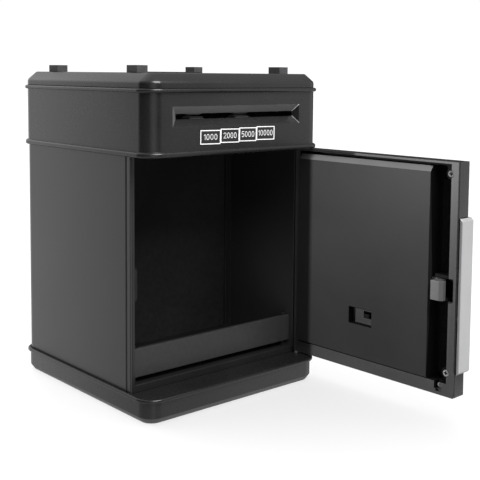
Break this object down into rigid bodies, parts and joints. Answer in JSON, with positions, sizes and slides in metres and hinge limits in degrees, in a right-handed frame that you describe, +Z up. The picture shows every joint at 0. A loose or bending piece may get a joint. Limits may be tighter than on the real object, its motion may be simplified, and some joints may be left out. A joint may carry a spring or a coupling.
{
  "type": "toy atm savings bank",
  "caption": "Black plastic toy cash machine bank: note slot head on rollers, square cash box with coin board, keypad door hinged open on the right with knob driven bolt.",
  "frame": {"origin": "centre of the flat bottom, on the surface the bank rests on", "axes": "+Z up, the note slot and the cash box opening face -Y, the door hinge is at +X"},
  "size_m": [0.151, 0.241, 0.191],
  "materials": {
    "black_shell": "satin black moulded plastic",
    "black_body": "satin black moulded plastic",
    "dark_inner": "fine matt black plastic",
    "pad_grey": "matt dark grey plastic",
    "value_black": "printed label, white outline and numerals on black",
    "dark_steel": "dark acetal",
    "bright_screw": "zinc plated steel",
    "shaft_steel": "ground steel",
    "contact_steel": "nickel plated spring steel",
    "cell_case": "plain jacket, no print",
    "silver_trim": "silver lacquered plastic",
    "knob_dark": "satin dark grey plastic",
    "key_pale": "pale grey plastic with plain numerals",
    "lamp": "tinted clear plastic",
    "board_green": "solder masked circuit board",
    "chip_black": "moulded black",
    "coil_copper": "taped winding in a steel frame",
    "motor_can": "pressed steel can",
    "feeder_plastic": "black plastic",
    "gear_white": "natural acetal",
    "wheel_rubber": "grippy rubber"
  },
  "bodies": {
    "housing": {"base_tray": "black_shell", "base_cover": "black_shell", "body_shell": "black_body", "partition": "dark_inner", "coin_board": "dark_inner", "strike_plate": "dark_steel", "battery_box": "dark_inner", "battery_cells": "cell_case", "battery_contacts": "contact_steel", "battery_door": "black_shell", "battery_door_screw": "bright_screw", "case_screws": "bright_screw", "head_screws": "bright_screw", "head_shell": "black_shell", "coin_chute": "dark_inner", "coin_slot_trim": "black_shell", "lid": "black_shell", "lid_pads": "pad_grey", "value_plate_1": "value_black", "value_plate_2": "value_black", "value_plate_3": "value_black", "value_plate_4": "value_black", "feeder_frame": "feeder_plastic", "feeder_motor": "motor_can", "main_board": "board_green", "board_parts": "chip_black"},
    "drive_roller": {"drive_shaft": "shaft_steel", "drive_wheels": "wheel_rubber", "drive_gear": "gear_white"},
    "idler_roller": {"idler_shaft": "shaft_steel", "idler_wheels": "wheel_rubber"},
    "middle_wheel": {"middle_gear": "gear_white"},
    "motor_rotor": {"motor_pinion": "gear_white"},
    "door": {"door_shell": "black_shell", "door_panel": "dark_inner", "hinge_pins": "bright_screw", "door_bezel": "silver_trim", "handle_trim": "silver_trim", "led_lenses": "lamp", "door_board": "board_green", "speaker": "chip_black", "lock_coil": "coil_copper", "door_screws": "bright_screw"},
    "knob_set": {"knob": "knob_dark", "crank": "shaft_steel"},
    "bolt": {"latch_bolt": "dark_steel"},
    "plunger": {"lock_plunger": "shaft_steel"},
    "slider": {"switch_slider": "chip_black"},
    "key_cap_1": {"key_1": "key_pale"},
    "key_cap_2": {"key_2": "key_pale"},
    "key_cap_3": {"key_3": "key_pale"},
    "key_cap_4": {"key_4": "key_pale"},
    "key_cap_5": {"key_5": "key_pale"},
    "key_cap_6": {"key_6": "key_pale"},
    "key_cap_7": {"key_7": "key_pale"},
    "key_cap_8": {"key_8": "key_pale"},
    "key_cap_9": {"key_9": "key_pale"},
    "key_cap_10": {"key_10": "key_pale"},
    "key_cap_11": {"key_11": "key_pale"},
    "key_cap_12": {"key_12": "key_pale"}
  },
  "joints": [
    {"name": "door_hinge", "type": "hinge", "parent": "housing", "child": "door", "pos_m": [0.0602, -0.0526, 0.0783], "axis": [0, 0, 1], "range_deg": [-92, 12]},
    {"name": "knob_turn", "type": "hinge", "parent": "door", "child": "knob_set", "pos_m": [0.07353, -0.13619, 0.079], "axis": [-0.9994, -0.0349, 0], "range_deg": [0, 57.3]},
    {"name": "bolt_slide", "type": "slide", "parent": "door", "child": "bolt", "axis": [0.0349, -0.9994, 0], "range_m": [0, 0.00576]},
    {"name": "plunger_slide", "type": "slide", "parent": "door", "child": "plunger", "axis": [0, 0, 1], "range_m": [0, 0.002], "stiffness_N_per_m": 40},
    {"name": "switch_slide", "type": "slide", "parent": "door", "child": "slider", "axis": [0.0349, -0.9994, 0], "range_m": [0, 0.003]},
    {"name": "key_press_1", "type": "slide", "parent": "door", "child": "key_cap_1", "axis": [-0.9994, -0.0349, 0], "range_m": [0, 0.001], "stiffness_N_per_m": 300},
    {"name": "key_press_2", "type": "slide", "parent": "door", "child": "key_cap_2", "axis": [-0.9994, -0.0349, 0], "range_m": [0, 0.001], "stiffness_N_per_m": 300},
    {"name": "key_press_3", "type": "slide", "parent": "door", "child": "key_cap_3", "axis": [-0.9994, -0.0349, 0], "range_m": [0, 0.001], "stiffness_N_per_m": 300},
    {"name": "key_press_4", "type": "slide", "parent": "door", "child": "key_cap_4", "axis": [-0.9994, -0.0349, 0], "range_m": [0, 0.001], "stiffness_N_per_m": 300},
    {"name": "key_press_5", "type": "slide", "parent": "door", "child": "key_cap_5", "axis": [-0.9994, -0.0349, 0], "range_m": [0, 0.001], "stiffness_N_per_m": 300},
    {"name": "key_press_6", "type": "slide", "parent": "door", "child": "key_cap_6", "axis": [-0.9994, -0.0349, 0], "range_m": [0, 0.001], "stiffness_N_per_m": 300},
    {"name": "key_press_7", "type": "slide", "parent": "door", "child": "key_cap_7", "axis": [-0.9994, -0.0349, 0], "range_m": [0, 0.001], "stiffness_N_per_m": 300},
    {"name": "key_press_8", "type": "slide", "parent": "door", "child": "key_cap_8", "axis": [-0.9994, -0.0349, 0], "range_m": [0, 0.001], "stiffness_N_per_m": 300},
    {"name": "key_press_9", "type": "slide", "parent": "door", "child": "key_cap_9", "axis": [-0.9994, -0.0349, 0], "range_m": [0, 0.001], "stiffness_N_per_m": 300},
    {"name": "key_press_10", "type": "slide", "parent": "door", "child": "key_cap_10", "axis": [-0.9994, -0.0349, 0], "range_m": [0, 0.001], "stiffness_N_per_m": 300},
    {"name": "key_press_11", "type": "slide", "parent": "door", "child": "key_cap_11", "axis": [-0.9994, -0.0349, 0], "range_m": [0, 0.001], "stiffness_N_per_m": 300},
    {"name": "key_press_12", "type": "slide", "parent": "door", "child": "key_cap_12", "axis": [-0.9994, -0.0349, 0], "range_m": [0, 0.001], "stiffness_N_per_m": 300},
    {"name": "drive_spin", "type": "hinge", "parent": "housing", "child": "drive_roller", "pos_m": [0, -0.0555, 0.1576], "axis": [1, 0, 0], "continuous": true},
    {"name": "idler_spin", "type": "hinge", "parent": "housing", "child": "idler_roller", "pos_m": [0, -0.0555, 0.1679], "axis": [1, 0, 0], "continuous": true},
    {"name": "middle_spin", "type": "hinge", "parent": "housing", "child": "middle_wheel", "pos_m": [0.0482, -0.03782, 0.1576], "axis": [1, 0, 0], "continuous": true},
    {"name": "motor_spin", "type": "hinge", "parent": "housing", "child": "motor_rotor", "pos_m": [0.0482, -0.02254, 0.1576], "axis": [1, 0, 0], "continuous": true}
  ],
  "couplings": [
    {"joint": "bolt_slide", "follows": "knob_turn", "m_per_rad": 0.0057531},
    {"joint": "idler_spin", "follows": "drive_spin", "ratio": -1.5385},
    {"joint": "middle_spin", "follows": "drive_spin", "ratio": -0.83333},
    {"joint": "motor_spin", "follows": "drive_spin", "ratio": 1.4286}
  ]
}
